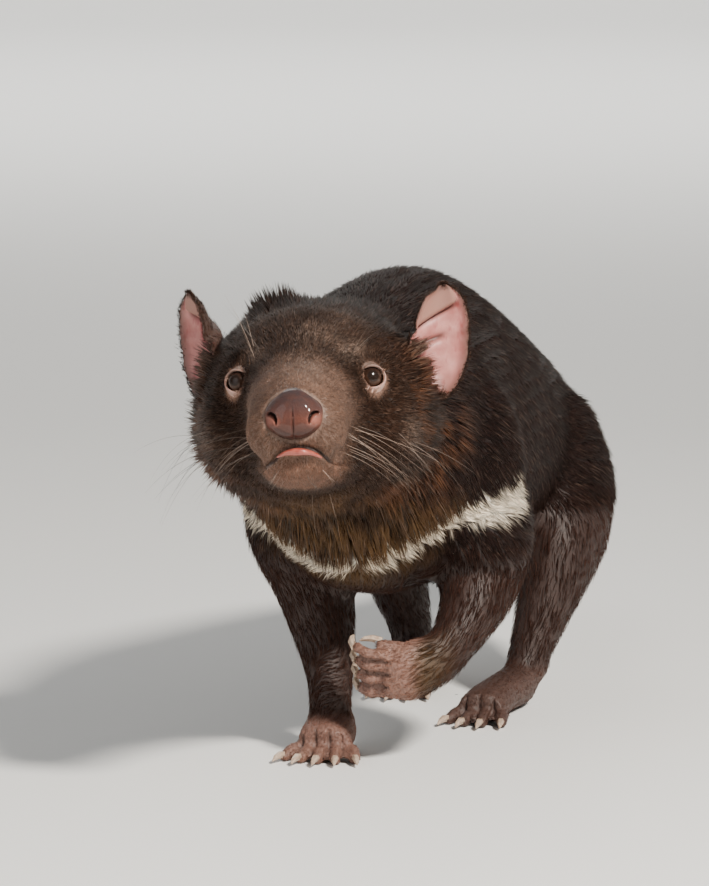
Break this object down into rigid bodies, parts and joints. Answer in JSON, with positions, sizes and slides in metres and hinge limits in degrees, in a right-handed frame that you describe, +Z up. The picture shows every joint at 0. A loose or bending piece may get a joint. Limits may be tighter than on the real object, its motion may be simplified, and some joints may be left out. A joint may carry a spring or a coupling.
{
  "type": "tasmanian devil model",
  "caption": "Life-size still model of a tasmanian devil walking towards the viewer with its left forepaw lifted, head raised, chest band white.",
  "frame": {"origin": "on the floor under the middle of the whole model's box", "axes": "+Z up, -Y the way the animal walks, +X its left side"},
  "size_m": [0.1634, 0.8006, 0.2573],
  "materials": {
    "dark_fur": "short dense near-black fur, slightly glossy",
    "face_fur": "short grizzled brown fur, taupe on the muzzle",
    "leg_fur": "short reddish dark-brown fur",
    "ear_skin": "bare pink skin inside, dark short fur behind",
    "paw_skin": "pinkish tan skin with sparse pale hairs",
    "nose_skin": "moist dark reddish-brown skin",
    "eye": "wet dark brown eye",
    "claw_horn": "pale horn"
  },
  "bodies": {
    "root": {"head": "face_fur", "left_ear": "ear_skin", "right_ear": "ear_skin", "left_eye": "eye", "right_eye": "eye", "nose": "nose_skin", "neck": "dark_fur", "torso": "dark_fur", "tail_base": "dark_fur", "tail_tip": "dark_fur", "left_upper_foreleg": "leg_fur", "left_lower_foreleg": "leg_fur", "left_forepaw": "paw_skin", "right_upper_foreleg": "leg_fur", "right_lower_foreleg": "leg_fur", "right_forepaw": "paw_skin", "left_thigh": "dark_fur", "left_shank": "leg_fur", "left_hindfoot": "leg_fur", "right_thigh": "dark_fur", "right_shank": "leg_fur", "right_hindfoot": "leg_fur", "left_forepaw_claw_1": "claw_horn", "left_forepaw_claw_2": "claw_horn", "left_forepaw_claw_3": "claw_horn", "left_forepaw_claw_4": "claw_horn", "left_forepaw_claw_5": "claw_horn", "left_hindfoot_claw_1": "claw_horn", "left_hindfoot_claw_2": "claw_horn", "left_hindfoot_claw_3": "claw_horn", "left_hindfoot_claw_4": "claw_horn", "right_forepaw_claw_1": "claw_horn", "right_forepaw_claw_2": "claw_horn", "right_forepaw_claw_3": "claw_horn", "right_forepaw_claw_4": "claw_horn", "right_forepaw_claw_5": "claw_horn", "right_hindfoot_claw_1": "claw_horn", "right_hindfoot_claw_2": "claw_horn", "right_hindfoot_claw_3": "claw_horn", "right_hindfoot_claw_4": "claw_horn"}
  },
  "joints": []
}
